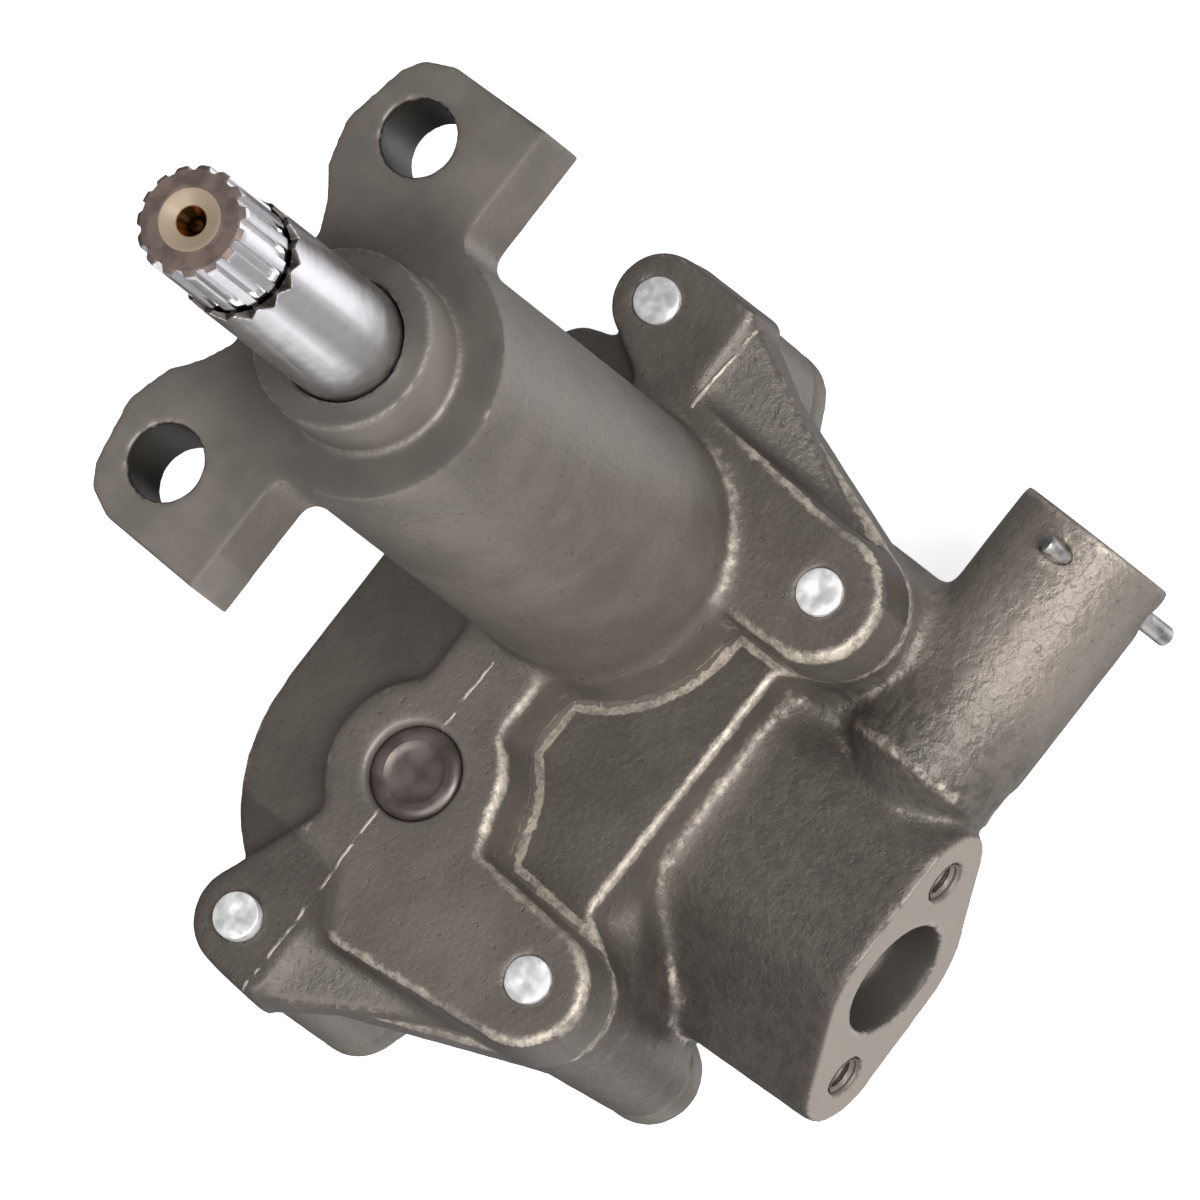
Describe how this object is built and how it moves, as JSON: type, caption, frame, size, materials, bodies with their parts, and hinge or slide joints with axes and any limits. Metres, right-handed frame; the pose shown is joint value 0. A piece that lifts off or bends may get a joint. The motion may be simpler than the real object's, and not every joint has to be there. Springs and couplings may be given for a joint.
{
  "type": "engine oil pump",
  "caption": "Cast-iron external gear oil pump with a splined drive shaft in a long barrel, two mounting ears, a bolted body with outlet flange, and a spring relief valve.",
  "frame": {"origin": "on the drive shaft's axis, in the top face of the mounting flange, at the foot of the pilot boss", "axes": "+Z along the drive shaft towards its splined end, +X towards the open end of the relief valve, outlet port facing -Y, mounting ears on the +Y side"},
  "size_m": [0.1421, 0.1135, 0.272],
  "materials": {
    "cast_iron": "rough sand cast, oiled",
    "polished_steel": "ground and polished",
    "dark_steel": "dark heat-treated",
    "gear_steel": "ground",
    "bronze": "machined bearing bronze",
    "zinc": "bright zinc plate"
  },
  "bodies": {
    "housing": {"upper_housing": "cast_iron", "pump_body": "cast_iron", "bottom_cover": "cast_iron", "idler_shaft": "dark_steel", "upper_shaft_bushing": "bronze", "lower_shaft_bushing": "bronze", "cover_shaft_bushing": "bronze", "relief_spring": "dark_steel", "relief_plug": "gear_steel", "relief_lock_pin": "zinc", "cover_bolts": "zinc", "bolt_washers": "zinc", "housing_dowels": "gear_steel", "cover_dowels": "gear_steel"},
    "drive": {"drive_shaft": "polished_steel", "drive_gear": "gear_steel", "drive_gear_key": "gear_steel"},
    "idler": {"idler_gear": "gear_steel", "idler_gear_bushing": "bronze"},
    "plunger": {"relief_plunger": "gear_steel"}
  },
  "joints": [
    {"name": "drive_shaft_spin", "type": "hinge", "parent": "housing", "child": "drive", "pos_m": [0, 0, 0], "axis": [0, 0, 1], "continuous": true},
    {"name": "idler_gear_spin", "type": "hinge", "parent": "housing", "child": "idler", "pos_m": [-0.0475, 0, -0.149], "axis": [0, 0, 1], "continuous": true},
    {"name": "relief_plunger_slide", "type": "slide", "parent": "housing", "child": "plunger", "axis": [1, 0, 0], "range_m": [0, 0.009], "stiffness_N_per_m": 2500, "springref_m": -0.006, "deforming": ["relief_spring"]}
  ],
  "couplings": [
    {"joint": "idler_gear_spin", "follows": "drive_shaft_spin", "ratio": -1}
  ]
}
